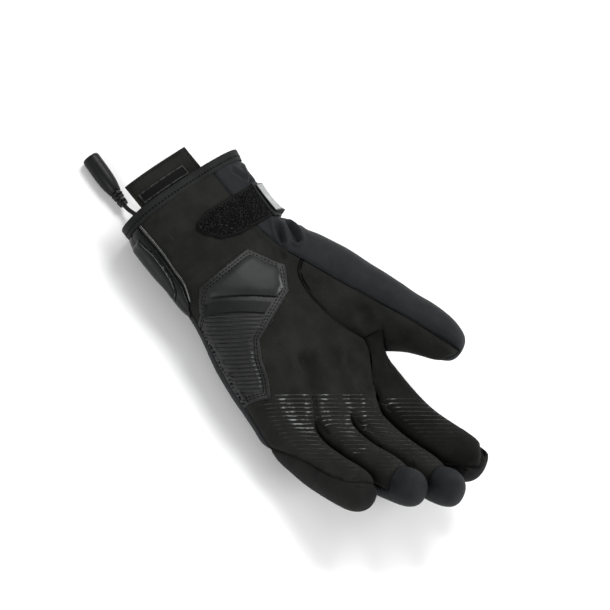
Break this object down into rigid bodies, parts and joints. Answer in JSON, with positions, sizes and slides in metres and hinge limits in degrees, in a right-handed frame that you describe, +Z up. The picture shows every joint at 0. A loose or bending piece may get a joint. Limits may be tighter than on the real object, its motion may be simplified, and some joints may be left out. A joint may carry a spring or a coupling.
{
  "type": "heated glove",
  "caption": "Padded left-hand heated glove with a wrist strap, a gripping palm and a short power lead with a connector.",
  "frame": {"origin": "centre of the glove's bounding box in X and Y, at its lowest point, measured without the lead", "axes": "+Y from the cuff towards the fingertips, +Z up out of the palm, +X towards the little finger"},
  "size_m": [0.1396, 0.3202, 0.07],
  "materials": {
    "knit": "matt knit cloth",
    "softshell": "smooth blue-grey soft shell",
    "back": "soft shell",
    "tips": "matt cloth",
    "tape": "woven tape",
    "loop": "hook and loop pile",
    "pad": "coated cloth",
    "rubber": "satin rubber",
    "strap": "woven strap",
    "label": "pale woven facing",
    "plastic": "matt moulded plastic"
  },
  "bodies": {
    "root": {"palm_panel": "knit", "back_panel": "back", "thumb_palm": "knit", "thumb_back": "softshell", "index_palm": "knit", "little_finger_back": "tips", "ring_finger_back": "softshell", "middle_finger_back": "softshell", "index_finger_back": "tips", "cuff_binding": "tape", "pocket_flap": "knit", "flap_label": "rubber", "palm_patch": "pad", "palm_pad": "pad", "palm_band": "rubber", "side_shield": "rubber", "side_shield_leaf": "rubber", "shield_piping": "rubber", "loop_patch": "loop", "wrist_strap": "strap", "strap_face": "label", "cord_gland": "plastic", "power_cord": "tape", "connector": "plastic"}
  },
  "joints": []
}
